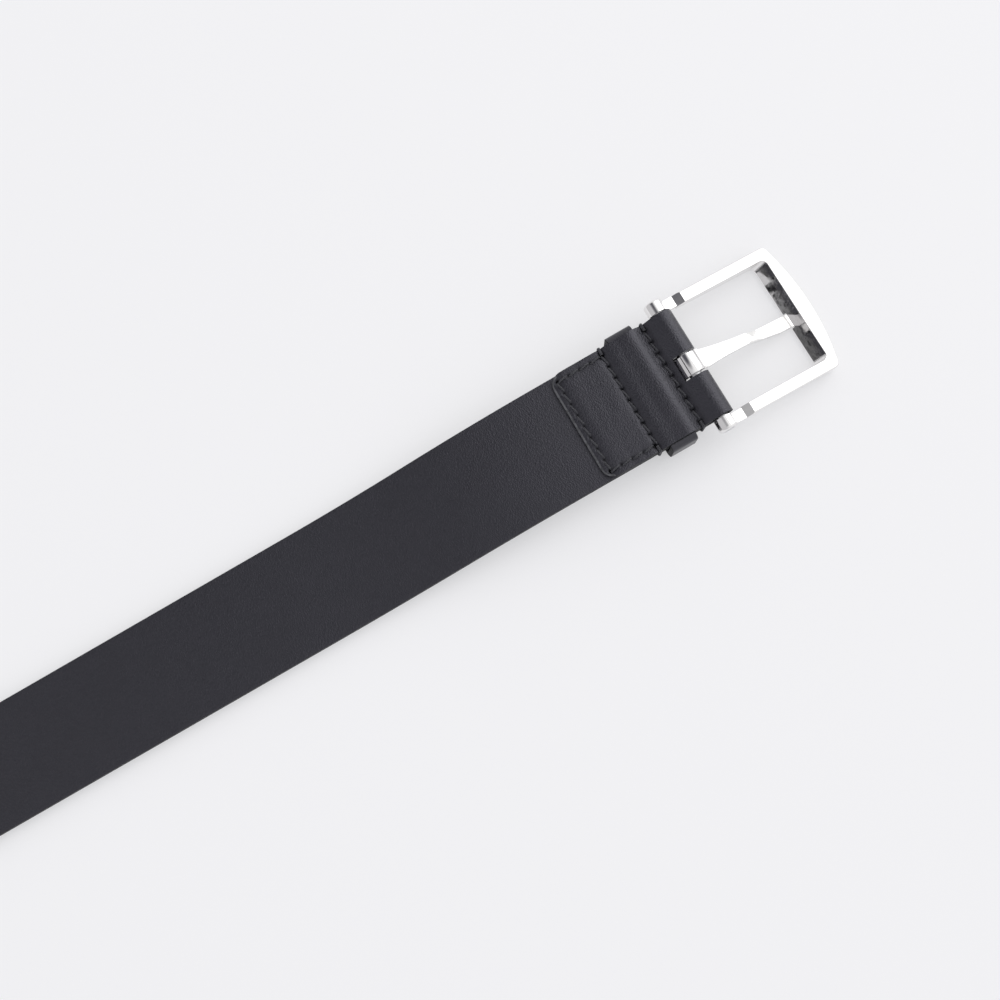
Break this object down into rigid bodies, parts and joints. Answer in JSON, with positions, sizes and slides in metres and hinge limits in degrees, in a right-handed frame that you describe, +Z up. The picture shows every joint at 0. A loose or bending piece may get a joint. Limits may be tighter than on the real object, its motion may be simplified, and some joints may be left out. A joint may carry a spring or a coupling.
{
  "type": "leather belt",
  "caption": "Dress belt: lined leather strap with adjustment holes and pointed end, fixed keeper, and a pin buckle whose frame and prong swing on one hinge bar.",
  "frame": {"origin": "middle of the belt's footprint, on the table it lies on, outer face down", "axes": "+X along the strap from its tip to the buckle, +Y across the strap along the hinge bar, +Z up, from the outer face to the lining"},
  "size_m": [1.1398, 0.044, 0.0139],
  "materials": {
    "grain_leather": "fine-grained smooth black leather, low sheen",
    "lining_leather": "finely printed black split leather, matt",
    "filler_board": "bonded leather board, matt",
    "keeper_leather": "smooth black leather with painted edges",
    "thread": "waxed black twisted thread",
    "polished_metal": "mirror-polished plated casting",
    "steel_pin": "drawn steel"
  },
  "bodies": {
    "strap": {"outer_leather": "grain_leather", "strap_filler": "filler_board", "strap_lining": "lining_leather", "keeper_band": "keeper_leather", "keeper_staple": "steel_pin", "seam_at_bar": "thread", "seam_behind_keeper": "thread", "seam_round_flap": "thread"},
    "buckle": {"buckle_frame": "polished_metal", "hinge_bar": "steel_pin"},
    "prong": {"prong": "polished_metal"}
  },
  "joints": [
    {"name": "frame_swing", "type": "hinge", "parent": "strap", "child": "buckle", "pos_m": [0.52839, 0, 0.01015], "axis": [0, 1, 0], "range_deg": [-125, 30]},
    {"name": "prong_swing", "type": "hinge", "parent": "buckle", "child": "prong", "pos_m": [0.52839, 0, 0.01015], "axis": [0, 1, 0], "range_deg": [0, 90]}
  ]
}
